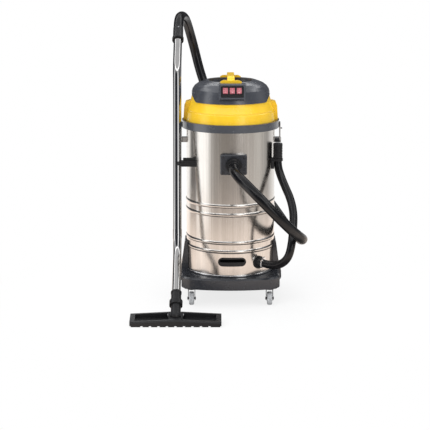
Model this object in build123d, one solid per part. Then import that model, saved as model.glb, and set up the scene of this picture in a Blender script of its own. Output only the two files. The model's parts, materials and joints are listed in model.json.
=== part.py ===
from build123d import *
import math
import os

# A three-motor wet and dry shop vacuum, in millimetres. The floor is z = 0, the tank's axis is the z axis,
# the front is towards -Y and the wand hangs on the -X side.

# Tank
TANK_RADIUS = 200.0
TANK_WALL = 1.0
TANK_BOTTOM = 124.0
TANK_TOP = 790.0
TANK_CORNER = 14.0
BEAD_HEIGHTS = (247.0, 287.0, 414.0, 454.0)
BEAD_HALF = 9.0
BEAD_RISE = 3.5
RIM_ROLL = 4.0
HOOP_BOTTOM = 132.0
HOOP_HEIGHT = 8.0
HOOP_RISE = 6.0

# Suction inlet on the front of the tank
INLET_X = 11.0
INLET_Z = 644.0
INLET_PLATE = (117.0, 89.0)
INLET_PLATE_FRONT = -224.0
SOCKET_RADIUS = 28.0
SOCKET_BORE = 24.2
SOCKET_FRONT = -238.0
SOCKET_BACK = -168.0

# Grip recess low on the front
GRIP_X = 6.0
GRIP_Z = 201.0
GRIP_SIZE = (125.0, 38.0)
GRIP_WALL = 3.0
GRIP_PROUD = 6.0
GRIP_BACK = -152.0

# Hoses and wand
HOSE_RADIUS = 22.0
HOSE_BORE = 19.0
CUFF_RADIUS = 24.0
DRAIN_RADIUS = 18.0
DRAIN_BORE = 14.5
DRAIN_ANGLE = -51.3
DRAIN_AIM = -45.0
DRAIN_Z = 190.0
WAND_X = -237.5
WAND_RADIUS = 19.0
WAND_WALL = 1.2
WAND_LEAN = 10.0
WAND_LEG = 55.0
WAND_BEND = 120.0
WAND_CLIP = (-118.0, 616.0)
CLIP_Z = 632.0
WAND_LOW_Z = 248.0
WAND_HIGH_Z = 1055.0
WAND_LOW_LEG = 281.0
WAND_HIGH_LEG = 216.0
WAND_JOINT_Z = 345.0
WAND_SWAGE = 40.0

# Floor tool
TOOL_WIDTH = 390.0
TOOL_FRONT = -46.0
TOOL_BACK = 42.0
TOOL_LIP = 7.0
TOOL_MIDDLE_TOP = [(TOOL_FRONT, 27.0), (-42.0, 34.0), (36.0, 48.0), (TOOL_BACK, 44.0)]
TOOL_END_TOP = [(TOOL_FRONT, 18.0), (-42.0, 24.0), (36.0, 38.0), (TOOL_BACK, 34.0)]
TOOL_WALL = 9.0
TOOL_CEILING = 17.0
RECESS_SPAN = (27.0, 173.0)
RECESS_DEPTH = (-33.0, 27.0)
RECESS_FLOOR = 21.0
TOOL_PIVOT_REACH = 79.0
TOOL_PIN_RADIUS = 4.0
TOOL_BALL = 22.0

# Dolly and castors
DOLLY_BOTTOM = 80.0
DOLLY_HALF = 221.0
DOLLY_BOW = 238.0
DOLLY_SKIRT_TOP = 125.0
DOLLY_DECK_TOP = 131.0
DECK_SHRINK = 0.965
DECK_UNDER = 119.0
WING_TOP = 264.0
WING_REACH = 233.0
WING_HALF = 60.0
CASTOR_SPREAD = (175.0, 162.0)
CASTOR_TRAIL = 20.0
WHEEL_RADIUS = 30.0
WHEEL_WIDTH = 22.0
KINGPIN_RADIUS = 5.0
AXLE_RADIUS = 4.0
RUNNING = 0.05

# Head
RIM_RADIUS = 218.0
RIM_BOTTOM = 781.0
RIM_TOP = 815.0
GASKET_TOP = 796.0
HOUSING_RADIUS = 203.0
HOUSING_STEP = 857.0
HOUSING_TOP = 937.0
HOUSING_TOP_RADIUS = 170.0
SHELL = 3.0
COVER_RADIUS = HOUSING_TOP_RADIUS + 4.2
COVER_TOP = 991.0
COVER_RECESS_RADIUS = 98.0
COVER_RECESS_FLOOR = 956.0
APRON_BOTTOM = 902.0
APRON_HALF = 156.0
HANDLE_TOP = 1016.0
HANDLE_UNDER = 995.0
HANDLE_BASE = 980.0
HANDLE_WIDTH = 32.0
HANDLE_FOOT = 94.0
PANEL_X = 5.0
PANEL_LOW = (-192.0, 925.0)
PANEL_HIGH = (-172.0, 988.0)
PANEL_HALF = 50.0
PANEL_RISE = 25.0
ROCKER_SIZE = (21.4, 26.4)
ROCKER_PITCH = 30.0
ROCKER_REST = -8.0
MOTOR_CIRCLE = 86.0
MOTOR_ANGLES = (90.0, 210.0, 330.0)

# Latches
LATCH_X = 222.0
LATCH_Z = 722.0
LATCH_ARM = 78.0
LATCH_HALF = 18.0
WIRE_RADIUS = 2.5

parts = {}


def disc(radius, low, high, x=0.0, y=0.0):
    """A vertical cylinder between two heights."""
    return Pos(x, y, (low + high) / 2) * Cylinder(radius, high - low)


def ring(inner, outer, low, high, x=0.0, y=0.0):
    """A vertical ring between two heights."""
    return disc(outer, low, high, x, y) - disc(inner, low - 1, high + 1, x, y)


def block(x_span, y_span, z_span):
    """A box between two values on each axis."""
    spans = (x_span, y_span, z_span)
    centre = [(low + high) / 2 for low, high in spans]
    return Pos(*centre) * Box(*[high - low for low, high in spans])


def rod(start, end, radius):
    """A cylinder from one point to another."""
    start = Vector(*start)
    along = Vector(*end) - start
    plane = Plane(origin=start, z_dir=along)
    return extrude(plane * Circle(radius), along.length)


def pipe(start, end, outer, inner):
    """A straight tube, open at both ends."""
    start = Vector(*start)
    end = Vector(*end)
    step = (end - start).normalized()
    return rod(start, end, outer) - rod(start - step, end + step, inner)


def turned(points):
    """A closed outline of (radius, height) points, turned about the tank's axis."""
    return revolve(Plane.XZ * make_face(Polyline(*points, close=True)), Axis.Z)


def side_cut(points, half_width, centre_x=0.0):
    """A closed outline of (y, z) points, as thick as twice the half width along X."""
    face = Plane.YZ * make_face(Polyline(*points, close=True))
    return Pos(centre_x - half_width, 0, 0) * extrude(face, 2 * half_width, dir=(1, 0, 0))


def front_cut(points, half_depth, centre_y=0.0):
    """A closed outline of (x, z) points, as thick as twice the half depth along Y."""
    face = Plane.XZ * make_face(Polyline(*points, close=True))
    return Pos(0, centre_y - half_depth, 0) * extrude(face, 2 * half_depth, dir=(0, 1, 0))


def upright_slot(size, x, front, back, z):
    """A slot with round ends in the XZ plane, cut from the front value of y to the back one."""
    face = Plane(origin=(x, front, z), x_dir=(1, 0, 0), z_dir=(0, -1, 0)) * SlotOverall(*size)
    return extrude(face, back - front, dir=(0, 1, 0))


# Tank: a shell rolled with two pairs of beads and a rolled rim at its mouth, and a flat floor welded in.
def tank_face(inset):
    radius = TANK_RADIUS - inset
    floor = TANK_BOTTOM + inset
    corner = TANK_CORNER - inset
    lines = Line((0, floor), (radius - corner, floor))
    lines += RadiusArc((radius - corner, floor), (radius, floor + corner), -corner)
    height = floor + corner
    for bead in BEAD_HEIGHTS:
        lines += Line((radius, height), (radius, bead - BEAD_HALF))
        height = bead + BEAD_HALF
        lines += ThreePointArc((radius, bead - BEAD_HALF), (radius + BEAD_RISE, bead), (radius, height))
    lines += Polyline((radius, height), (radius, TANK_TOP), (0, TANK_TOP), (0, floor))
    return Plane.XZ * make_face(lines)


def rolled_rim():
    circle = Plane.XZ * Pos(TANK_RADIUS - TANK_WALL + RIM_ROLL, TANK_TOP - RIM_ROLL) * Circle(RIM_ROLL)
    return revolve(circle, Axis.Z)


def level_point(angle, reach, z):
    """A point at an angle round the tank's axis, in degrees from +X, and a distance from it."""
    return Vector(reach * math.cos(math.radians(angle)), reach * math.sin(math.radians(angle)), z)


drain_foot = level_point(DRAIN_ANGLE, TANK_RADIUS, DRAIN_Z)
drain_way = level_point(DRAIN_AIM, 1, 0)

shell = revolve(tank_face(0), Axis.Z) + rolled_rim() - revolve(tank_face(TANK_WALL), Axis.Z)
shell -= disc(TANK_RADIUS - TANK_WALL, TANK_TOP - 20, TANK_TOP + 1)
shell -= rod((INLET_X, -230, INLET_Z), (INLET_X, -150, INLET_Z), SOCKET_RADIUS)
shell -= upright_slot((GRIP_SIZE[0] - 6, GRIP_SIZE[1] - 6), GRIP_X, -230, -150, GRIP_Z)
shell -= rod(drain_foot - drain_way * 60, drain_foot + drain_way * 60, DRAIN_RADIUS)
floor_radius = TANK_RADIUS - TANK_CORNER
parts["tank_shell"] = shell - disc(floor_radius, TANK_BOTTOM - 1, TANK_BOTTOM + TANK_WALL + 1)
parts["tank_floor"] = disc(floor_radius, TANK_BOTTOM, TANK_BOTTOM + TANK_WALL)
hoop = ring(TANK_RADIUS, TANK_RADIUS + HOOP_RISE, HOOP_BOTTOM, HOOP_BOTTOM + HOOP_HEIGHT)
parts["base_hoop"] = fillet(hoop.edges().filter_by(GeomType.CIRCLE).group_by(SortBy.RADIUS)[-1], 2.5)


# Dolly: a moulded tray with a bowed front, a sloped deck round the tank and two wings that hold its sides.
def dolly_outline(size):
    half = DOLLY_HALF
    corner = half - 43
    diagonal = corner + 43 * math.sqrt(0.5)
    lines = Polyline((half, -152), (half, corner))
    lines += ThreePointArc((half, corner), (diagonal, diagonal), (corner, half))
    lines += Line((corner, half), (-corner, half))
    lines += ThreePointArc((-corner, half), (-diagonal, diagonal), (-half, corner))
    lines += Line((-half, corner), (-half, -152))
    lines += ThreePointArc((-half, -152), (-206, -196), (-170, -217))
    lines += ThreePointArc((-170, -217), (0, -DOLLY_BOW), (170, -217))
    lines += ThreePointArc((170, -217), (206, -196), (half, -152))
    return scale(make_face(lines), by=(size, size, 1))


def dolly():
    skirt = Pos(0, 0, DOLLY_BOTTOM) * extrude(dolly_outline(1.0), DOLLY_SKIRT_TOP - DOLLY_BOTTOM)
    slope = loft([Pos(0, 0, DOLLY_SKIRT_TOP) * dolly_outline(1.0),
                  Pos(0, 0, DOLLY_DECK_TOP) * dolly_outline(DECK_SHRINK)], ruled=True)
    body = skirt + slope
    for size, top in ((0.97, 106), (0.92, DECK_UNDER)):
        body -= Pos(0, 0, DOLLY_BOTTOM - 1) * extrude(dolly_outline(size), top - DOLLY_BOTTOM + 1)
    for x in (-1, 1):
        for y in (-1, 1):
            body += disc(36, DOLLY_BOTTOM, DECK_UNDER + 1, x * CASTOR_SPREAD[0], y * CASTOR_SPREAD[1])
    wing = [(192, DOLLY_BOTTOM), (WING_REACH - 8, DOLLY_BOTTOM), (WING_REACH, 94), (WING_REACH - 1, 125),
            (TANK_RADIUS + 21, 165), (TANK_RADIUS + 8, WING_TOP - 4), (TANK_RADIUS + 4, WING_TOP),
            (192, WING_TOP)]
    for side in (-1, 1):
        body += front_cut([(side * x, z) for x, z in wing], WING_HALF)
    body -= disc(TANK_RADIUS, TANK_BOTTOM, WING_TOP + 1)
    body -= ring(TANK_RADIUS - 2, TANK_RADIUS + HOOP_RISE, HOOP_BOTTOM, HOOP_BOTTOM + HOOP_HEIGHT)
    bead = BEAD_HEIGHTS[0]
    body -= ring(TANK_RADIUS - 2, TANK_RADIUS + BEAD_RISE + 0.5, bead - BEAD_HALF, bead + BEAD_HALF)
    return body


parts["dolly_base"] = dolly()


# Castors: a plate with a kingpin under the dolly, a fork that swivels on it, and a wheel on an axle.
def castor_plate(x, y):
    plate = block((x - 31, x + 31), (y - 31, y + 31), (DOLLY_BOTTOM - 3, DOLLY_BOTTOM))
    plate -= disc(KINGPIN_RADIUS - 1, DOLLY_BOTTOM - 4, DOLLY_BOTTOM + 1, x, y)
    race = ring(KINGPIN_RADIUS, 17, DOLLY_BOTTOM - 6.7, DOLLY_BOTTOM - 3, x, y)
    kingpin = disc(KINGPIN_RADIUS, DOLLY_BOTTOM - 13.4, DOLLY_BOTTOM, x, y)
    button = disc(8.5, DOLLY_BOTTOM - 16, DOLLY_BOTTOM - 13.4, x, y)
    return plate + race + kingpin + button


def castor_fork(x, y):
    axle_y = y - CASTOR_TRAIL
    leg = [(16, 73), (-16, 73), (-30, 33), (-27, 21), (-15, 19), (-8, 33), (16, 62)]
    fork = disc(20, 67.4, 73, x, y) + block((x - 16, x + 16), (y - 16, y + 16), (67.4, 73))
    for side in (-1, 1):
        fork += side_cut([(y + dy, z) for dy, z in leg], 1.25, x + side * 14.75)
    fork -= disc(KINGPIN_RADIUS + RUNNING, 60, 80, x, y)
    fork -= rod((x - 20, axle_y, WHEEL_RADIUS), (x + 20, axle_y, WHEEL_RADIUS), AXLE_RADIUS)
    axle = rod((x - 17, axle_y, WHEEL_RADIUS), (x + 17, axle_y, WHEEL_RADIUS), AXLE_RADIUS)
    for side in (-1, 1):
        axle += rod((x + side * 16, axle_y, WHEEL_RADIUS), (x + side * 19, axle_y, WHEEL_RADIUS), 6.5)
    return Compound(children=[fork.solid(), axle.solid()])


def castor_wheel(x, y):
    axle_y = y - CASTOR_TRAIL
    half = WHEEL_WIDTH / 2
    tread = rod((x - half, axle_y, WHEEL_RADIUS), (x + half, axle_y, WHEEL_RADIUS), WHEEL_RADIUS)
    tread = fillet(tread.edges().filter_by(GeomType.CIRCLE), 5)
    for side in (-1, 1):
        face_x = x + side * half
        dish = rod((face_x, axle_y, WHEEL_RADIUS), (face_x - side * 3, axle_y, WHEEL_RADIUS), 20)
        tread -= dish - rod((face_x, axle_y, WHEEL_RADIUS), (face_x - side * 3, axle_y, WHEEL_RADIUS), 9)
    return tread - rod((x - 20, axle_y, WHEEL_RADIUS), (x + 20, axle_y, WHEEL_RADIUS), AXLE_RADIUS + RUNNING)


castors = {
    "front_left": (-CASTOR_SPREAD[0], -CASTOR_SPREAD[1]),
    "front_right": (CASTOR_SPREAD[0], -CASTOR_SPREAD[1]),
    "rear_left": (-CASTOR_SPREAD[0], CASTOR_SPREAD[1]),
    "rear_right": (CASTOR_SPREAD[0], CASTOR_SPREAD[1]),
}
parts["castor_plates"] = Compound(children=[castor_plate(*place).solid() for place in castors.values()])
for corner_name, place in castors.items():
    parts["castor_fork_" + corner_name] = castor_fork(*place)
    parts["castor_wheel_" + corner_name] = castor_wheel(*place)


# Suction inlet: a moulded plate on the tank, a socket through it and a hood behind it that turns the flow down.
plate_half = INLET_PLATE[0] / 2
plate_rise = INLET_PLATE[1] / 2
plate = block((INLET_X - plate_half, INLET_X + plate_half), (INLET_PLATE_FRONT, -175),
              (INLET_Z - plate_rise, INLET_Z + plate_rise))
plate = fillet(plate.edges().filter_by(Axis.Y), 8)
plate = chamfer(plate.faces().sort_by(Axis.Y)[0].edges(), 4)
plate -= disc(TANK_RADIUS, INLET_Z - 60, INLET_Z + 60)
plate -= rod((INLET_X, -240, INLET_Z), (INLET_X, -150, INLET_Z), SOCKET_RADIUS)
parts["inlet_plate"] = plate



def along_inlet(y):
    return (INLET_X, y, INLET_Z)


socket = pipe(along_inlet(SOCKET_FRONT), along_inlet(SOCKET_BACK), SOCKET_RADIUS, SOCKET_BORE)
socket += pipe(along_inlet(SOCKET_FRONT), along_inlet(INLET_PLATE_FRONT), 34, SOCKET_BORE)
parts["inlet_socket"] = socket

hood = block((INLET_X - 38, INLET_X + 38), (-205, -138), (INLET_Z - 48, INLET_Z + 46))
hood -= block((INLET_X - 35, INLET_X + 35), (-206, -141), (INLET_Z - 49, INLET_Z + 43))
parts["inlet_deflector"] = hood & disc(TANK_RADIUS - TANK_WALL, INLET_Z - 60, INLET_Z + 60)

CUFF_END = -300.0
cuff = pipe(along_inlet(CUFF_END), along_inlet(-205), CUFF_RADIUS, HOSE_BORE)
cuff += pipe(along_inlet(-274), along_inlet(-264.5), 29, HOSE_BORE)
parts["hose_cuff_machine"] = cuff

bayonet = pipe(along_inlet(-264.2), along_inlet(SOCKET_FRONT - 0.3), 31, CUFF_RADIUS + 0.3)
for side in (-1, 1):
    lug = rod((INLET_X + side * 30, -262, INLET_Z), (INLET_X + side * 30, -241, INLET_Z), 6)
    bayonet += lug - rod(along_inlet(-270), along_inlet(-230), 27)
parts["bayonet_ring"] = bayonet


# Grip recess: a bezel on the tank, a pocket behind it and a bar across its lower half.
bezel = upright_slot(GRIP_SIZE, GRIP_X, -240, -150, GRIP_Z)
bezel &= ring(TANK_RADIUS, TANK_RADIUS + GRIP_PROUD, GRIP_Z - 40, GRIP_Z + 40)
pocket = upright_slot((GRIP_SIZE[0] - 6, GRIP_SIZE[1] - 6), GRIP_X, -240, GRIP_BACK, GRIP_Z)
pocket &= disc(TANK_RADIUS + GRIP_PROUD, GRIP_Z - 40, GRIP_Z + 40)
hollow = upright_slot((GRIP_SIZE[0] - 12, GRIP_SIZE[1] - 12), GRIP_X, -240, GRIP_BACK - GRIP_WALL, GRIP_Z)
grip_bar = block((GRIP_X - 58, GRIP_X + 58), (-204, -192), (GRIP_Z - 14, GRIP_Z - 1))
grip_bar &= pocket
parts["tip_grip"] = bezel + pocket - hollow + grip_bar


# Drain: a slanted outlet low on the tank, a clamp, a limp hose, and a plug that hangs in a clip on the tank.
drain_end = drain_foot + drain_way * 40
outlet_flange = rod(drain_foot - drain_way * 40, drain_foot + drain_way * 30, 29)
outlet_flange &= ring(TANK_RADIUS, TANK_RADIUS + 5, DRAIN_Z - 40, DRAIN_Z + 40)
outlet = rod(drain_foot - drain_way * 24, drain_end, DRAIN_RADIUS) + outlet_flange
outlet += rod(drain_foot, drain_foot + drain_way * 24, 22) - disc(TANK_RADIUS, DRAIN_Z - 40, DRAIN_Z + 40)
parts["drain_outlet"] = outlet - rod(drain_foot - drain_way * 60, drain_end + drain_way, DRAIN_BORE)
parts["drain_hose_clamp"] = pipe(drain_foot + drain_way * 27, drain_foot + drain_way * 37, 20.5, DRAIN_RADIUS)

DRAIN_TOP = (210.0, -81.0)
DRAIN_HOSE_TOP = 652.0
PLUG_TOP = 718.0
DRAIN_ROUTE = [
    tuple(drain_end),
    tuple(drain_end + drain_way * 46),
    (224, -255, 207),
    (252, -276, 243),
    (265, -274, 297),
    (273, -240, 360),
    (277, -199, 424),
    (265, -158, 480),
    (241, -121, 530),
    (222, -94, 575),
    (*DRAIN_TOP, 616),
    (*DRAIN_TOP, DRAIN_HOSE_TOP),
]


def hose(name, route, outer, inner):
    """A hose along straight runs joined by arcs as large as the runs allow."""
    points = [Vector(*point) for point in route]
    runs = [after - before for before, after in zip(points, points[1:])]
    radii = []
    for before, after in zip(runs, runs[1:]):
        turn = math.radians(before.get_angle(after))
        radii.append(0.45 * min(before.length, after.length) / math.tan(turn / 2))
    path = FilletPolyline(*points, radius=radii)
    start = Plane(origin=points[0], z_dir=runs[0])
    solid = sweep(start * Circle(outer), path) - sweep(start * Circle(inner), path)
    section = math.pi * (outer ** 2 - inner ** 2)
    shown = ", ".join(f"{radius / (2 * outer):.1f}" for radius in radii)
    print(f"{name}: length {path.length:.0f}, volume ratio {solid.volume / (section * path.length):.4f}")
    print(f"{name}: radii in diameters {shown}")
    print(f"{name}: runs {[round(run.length) for run in runs]}")
    return solid


parts["drain_hose"] = hose("drain_hose", DRAIN_ROUTE, DRAIN_RADIUS, DRAIN_BORE)

clip = ring(DRAIN_RADIUS, DRAIN_RADIUS + 5, 638, 649, *DRAIN_TOP)
clip += block((178, 200), (-100, -62), (637, 650)) - disc(DRAIN_RADIUS, 600, 700, *DRAIN_TOP)
clip += disc(8, 606, 640, 185.5, -99)
parts["drain_clip"] = clip - disc(TANK_RADIUS, 590, 700)

plug = disc(14.2, 636, DRAIN_HOSE_TOP + 4, *DRAIN_TOP)
plug += disc(21, DRAIN_HOSE_TOP + 0.3, PLUG_TOP, *DRAIN_TOP)
plug = chamfer(plug.faces().sort_by(Axis.Z)[-1].edges(), 3)
for notch in range(4):
    low = DRAIN_HOSE_TOP + 10 + notch * 12
    plug -= ring(19, 24, low, low + 4, *DRAIN_TOP)
parts["drain_plug"] = plug


# Wand: two bent tubes in one upright plane, the lower one swaged to take the upper one, leaning back in a clip.
lean = math.tan(math.radians(WAND_LEAN))
leg_run = math.sin(math.radians(WAND_LEG))
leg_rise = math.cos(math.radians(WAND_LEG))


def wand_at(z):
    return Vector(WAND_X, WAND_CLIP[0] + (z - WAND_CLIP[1]) * lean, z)


leg_out = Vector(0, -leg_run, -leg_rise)
wand_low = wand_at(WAND_LOW_Z)
wand_high = wand_at(WAND_HIGH_Z)
wand_foot = wand_low + leg_out * WAND_LOW_LEG
wand_head = wand_high - leg_out * WAND_HIGH_LEG
wand_up = (wand_high - wand_low).normalized()
wand_joint = wand_at(WAND_JOINT_Z)
swage_start = wand_joint - wand_up * WAND_SWAGE


def bent_tube(points, outer, inner):
    path = FilletPolyline(*points, radius=WAND_BEND)
    start = Plane(origin=points[0], z_dir=points[1] - points[0])
    return sweep(start * Circle(outer), path) - sweep(start * Circle(inner), path)


inner_radius = WAND_RADIUS - WAND_WALL
lower_tube = bent_tube([wand_foot, wand_low, swage_start], WAND_RADIUS, inner_radius)
lower_tube += pipe(swage_start, wand_joint, WAND_RADIUS + WAND_WALL, WAND_RADIUS)
lower_tube += pipe(swage_start - wand_up * 3, swage_start + wand_up * 3, WAND_RADIUS + WAND_WALL, inner_radius)
parts["wand_lower_tube"] = lower_tube
upper_route = [swage_start + wand_up * 4, wand_high, wand_head]
parts["wand_upper_tube"] = bent_tube(upper_route, WAND_RADIUS, inner_radius)

CUFF_LIFT = 45.0
cuff_start = wand_head + leg_out * 38
cuff_end = wand_head - leg_out * CUFF_LIFT
wand_cuff = pipe(cuff_start, cuff_end, 23, WAND_RADIUS)
wand_cuff += pipe(cuff_start, cuff_start - leg_out * 14, 26, WAND_RADIUS)
parts["hose_cuff_wand"] = wand_cuff

clip_centre = wand_at(CLIP_Z)
wand_clip = pipe(clip_centre - wand_up * 9, clip_centre + wand_up * 9, WAND_RADIUS + 3.5, WAND_RADIUS)
wand_clip -= block((-290, WAND_X - 8), (-160, -70), (CLIP_Z - 30, CLIP_Z + 30))
wand_clip += block((WAND_X + 16, -150), (-132, -98), (CLIP_Z - 12, CLIP_Z + 12))
wand_clip += block((WAND_X + 26, -150), (-126, -104), (CLIP_Z, CLIP_Z + 24))
wand_clip -= disc(TANK_RADIUS, CLIP_Z - 40, CLIP_Z + 40)
wand_clip -= rod(clip_centre - wand_up * 60, clip_centre + wand_up * 60, WAND_RADIUS)
parts["wand_clip"] = wand_clip


# Suction hose: out of the inlet towards the front, round to the right in a low loop, then up behind the tank
# and over to the top of the wand.
SUCTION_ROUTE = [
    (INLET_X, CUFF_END, INLET_Z),
    (INLET_X, CUFF_END - 72, INLET_Z),
    (29, -444, 632),
    (69, -506, 602),
    (124, -541, 552),
    (190, -541, 483),
    (252, -500, 415),
    (293, -420, 367),
    (311, -320, 335),
    (311, -215, 308),
    (310, -110, 288),
    (297, -5, 279),
    (262, 95, 302),
    (210, 183, 366),
    (131, 268, 455),
    (50, 345, 548),
    (-8, 410, 652),
    (-60, 468, 760),
    (-106, 520, 865),
    (-144, 555, 970),
    (-171, 567, 1079),
    (-193, 530, 1166),
    (-209, 450, 1229),
    (-224, 345, 1255),
    tuple(cuff_end - leg_out * 75),
    tuple(cuff_end),
]
parts["suction_hose"] = hose("suction_hose", SUCTION_ROUTE, HOSE_RADIUS, HOSE_BORE)


# Floor tool: a neck on the wand's foot that ends in a ball, and a wide hollow head that tilts on a pin on each
# side of it.
tool_pivot = wand_foot + leg_out * TOOL_PIVOT_REACH
pivot_y = tool_pivot.Y
pivot_z = tool_pivot.Z
HUB_HALF = 23.0
HUB_RADIUS = 13.0
AIRWAY = 13.5
NECK_SOCKET = 46.0
neck_top = wand_foot - leg_out * NECK_SOCKET
neck = rod(neck_top, wand_foot + leg_out * 8, 22)
neck += rod(neck_top, neck_top + leg_out * 8, 23.5)
neck += rod(wand_foot + leg_out * 4, wand_foot + leg_out * 28, 28.5)
neck += rod(wand_foot, tool_pivot, TOOL_BALL - 0.5)
neck += Pos(*tool_pivot) * Sphere(TOOL_BALL)
neck += rod((WAND_X - HUB_HALF, pivot_y, pivot_z), (WAND_X + HUB_HALF, pivot_y, pivot_z), HUB_RADIUS)
neck -= rod(neck_top - leg_out, wand_foot, WAND_RADIUS)
neck -= rod(wand_foot - leg_out * 10, tool_pivot, AIRWAY)
neck -= rod(tool_pivot, (WAND_X, pivot_y, pivot_z - TOOL_BALL - 1), AIRWAY)
neck -= Pos(*tool_pivot) * Sphere(AIRWAY)
neck -= rod((WAND_X - 30, pivot_y, pivot_z), (WAND_X + 30, pivot_y, pivot_z), TOOL_PIN_RADIUS + RUNNING)
parts["tool_neck"] = neck


def tool_section(x, top):
    """The tool's outline at one place along its width, with its top edge given from the pivot."""
    outline = [(TOOL_FRONT, TOOL_LIP), *top, (TOOL_BACK, TOOL_LIP)]
    return make_face(Polyline(*[(x, pivot_y + y, z) for y, z in outline], close=True))


tool_half = TOOL_WIDTH / 2
middle_section = tool_section(WAND_X, TOOL_MIDDLE_TOP)
tool = loft([tool_section(WAND_X - tool_half, TOOL_END_TOP), middle_section], ruled=True)
tool += loft([middle_section, tool_section(WAND_X + tool_half, TOOL_END_TOP)], ruled=True)
tool = fillet(tool.edges().filter_by(Axis.Z), 5)
for side in (-1, 1):
    span = sorted(WAND_X + side * reach for reach in RECESS_SPAN)
    recess = block(span, [pivot_y + y for y in RECESS_DEPTH], (RECESS_FLOOR, 60))
    tool -= fillet(recess.edges().filter_by(Axis.Z), 4)
mouth_front = TOOL_FRONT + TOOL_WALL
mouth_back = TOOL_BACK - TOOL_WALL
mouth = [(mouth_front, 0), (mouth_front, TOOL_CEILING - 4), (mouth_front + 4, TOOL_CEILING),
         (mouth_back - 4, TOOL_CEILING), (mouth_back, TOOL_CEILING - 4), (mouth_back, 0)]
tool -= side_cut([(pivot_y + y, z) for y, z in mouth], tool_half - 5, WAND_X)
SEAT_TOP = 34.0
tool += disc(HUB_HALF + 4, TOOL_CEILING + 2, SEAT_TOP, WAND_X, pivot_y)
ear = [(-24, 26), (24, 30), (12, pivot_z + 8), (0, pivot_z + 12), (-12, pivot_z + 8)]
EAR_HALF = 4.0
EAR_GAP = 0.5
for side in (-1, 1):
    ear_x = WAND_X + side * (HUB_HALF + EAR_GAP + EAR_HALF)
    tool += side_cut([(pivot_y + y, z) for y, z in ear], EAR_HALF, ear_x)
tool -= Pos(*tool_pivot) * Sphere(TOOL_BALL + 0.5)
for tilt in range(-20, 30, 9):
    rise = math.radians(90 - WAND_LEG - tilt)
    tool -= rod(tool_pivot, tool_pivot + Vector(0, math.cos(rise), math.sin(rise)) * 60, TOOL_BALL)
hub_room = HUB_HALF + EAR_GAP
tool -= rod((WAND_X - hub_room, pivot_y, pivot_z), (WAND_X + hub_room, pivot_y, pivot_z), HUB_RADIUS + 0.5)
tool -= disc(AIRWAY + 1, TOOL_CEILING - 1, SEAT_TOP, WAND_X, pivot_y)
tool -= rod((WAND_X - 40, pivot_y, pivot_z), (WAND_X + 40, pivot_y, pivot_z), TOOL_PIN_RADIUS)
parts["floor_tool_body"] = tool

pins = []
for side in (-1, 1):
    pin = rod((WAND_X + side * 15, pivot_y, pivot_z), (WAND_X + side * 32, pivot_y, pivot_z), TOOL_PIN_RADIUS)
    pin += rod((WAND_X + side * 31.5, pivot_y, pivot_z), (WAND_X + side * 34.5, pivot_y, pivot_z), 7)
    pins.append(pin.solid())
parts["tool_pivot_pins"] = Compound(children=pins)

STRIP_THICK = 5.0
STRIP_TOP = TOOL_CEILING - 4
NOTCH_PITCH = 36.0
NOTCH_HALF = 5.0
NOTCH_RISE = 5.0
strip_span = (WAND_X - tool_half + 5.5, WAND_X + tool_half - 5.5)
front_line = pivot_y + mouth_front
back_line = pivot_y + mouth_back
front_strip = block(strip_span, (front_line, front_line + STRIP_THICK), (0, STRIP_TOP))
back_strip = block(strip_span, (back_line - STRIP_THICK, back_line), (0, STRIP_TOP))
for step in range(-4, 5):
    notch_x = WAND_X + step * NOTCH_PITCH
    notch_span = (notch_x - NOTCH_HALF, notch_x + NOTCH_HALF)
    front_strip -= block(notch_span, (front_line - 1, front_line + STRIP_THICK + 1), (-1, NOTCH_RISE))
parts["tool_squeegees"] = Compound(children=[front_strip.solid(), back_strip.solid()])


# Motor pan: the dark rim that closes the tank, carries the three motors and has a keeper for each latch.
PAN_FLOOR = GASKET_TOP + 8
rim_inside = RIM_RADIUS - 7
pan = turned([(0, GASKET_TOP), (rim_inside, GASKET_TOP), (rim_inside, RIM_BOTTOM), (RIM_RADIUS, RIM_BOTTOM),
              (RIM_RADIUS, RIM_TOP), (HOUSING_RADIUS + 0.2, RIM_TOP), (HOUSING_RADIUS + 0.2, PAN_FLOOR),
              (0, PAN_FLOOR)])
motor_centres = [tuple(level_point(angle, MOTOR_CIRCLE, 0))[:2] for angle in MOTOR_ANGLES]
for centre in motor_centres:
    pan -= disc(24, GASKET_TOP - 1, PAN_FLOOR + 1, *centre)
keeper_top = LATCH_Z + LATCH_ARM
keeper = [(RIM_RADIUS - 4, keeper_top), (RIM_RADIUS + 1, keeper_top), (RIM_RADIUS + 6.8, keeper_top - 18),
          (RIM_RADIUS - 4, keeper_top - 20)]
for side in (-1, 1):
    pan += front_cut([(side * x, z) for x, z in keeper], 13)
parts["motor_pan"] = pan
parts["head_gasket"] = ring(194, 208, TANK_TOP + 0.3, GASKET_TOP)
parts["motor_seals"] = Compound(children=[ring(26, 66, PAN_FLOOR, PAN_FLOOR + 3, *centre).solid()
                                          for centre in motor_centres])


# Head housing: the yellow shell, with a step round it, an ear on each side and exhaust slots at the back.
WAIST = (184.0, 888.0)
housing_line = [(HOUSING_RADIUS, PAN_FLOOR), (HOUSING_RADIUS - 5, HOUSING_STEP - 4),
                (HOUSING_RADIUS - 8.5, HOUSING_STEP), (HOUSING_RADIUS - 7.5, HOUSING_STEP + 4), WAIST,
                (HOUSING_TOP_RADIUS, HOUSING_TOP)]
housing_core = [(radius - SHELL, z - 1 if HOUSING_STEP <= z < HOUSING_TOP else z) for radius, z in housing_line]
housing = turned(housing_line + housing_core[::-1])
housing_inside = turned(housing_core + [(0, HOUSING_TOP), (0, PAN_FLOOR)])
ear_line = [(190, 816), (209, 816), (211, 822), (207, 880), (201, 895), (176, 902)]
for side in (-1, 1):
    ear_block = front_cut([(side * x, z) for x, z in ear_line], 32)
    outer_face = ear_block.faces().sort_by(Axis.X)[0 if side < 0 else -1]
    housing += fillet(outer_face.edges(), 2.5) - housing_inside
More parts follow.
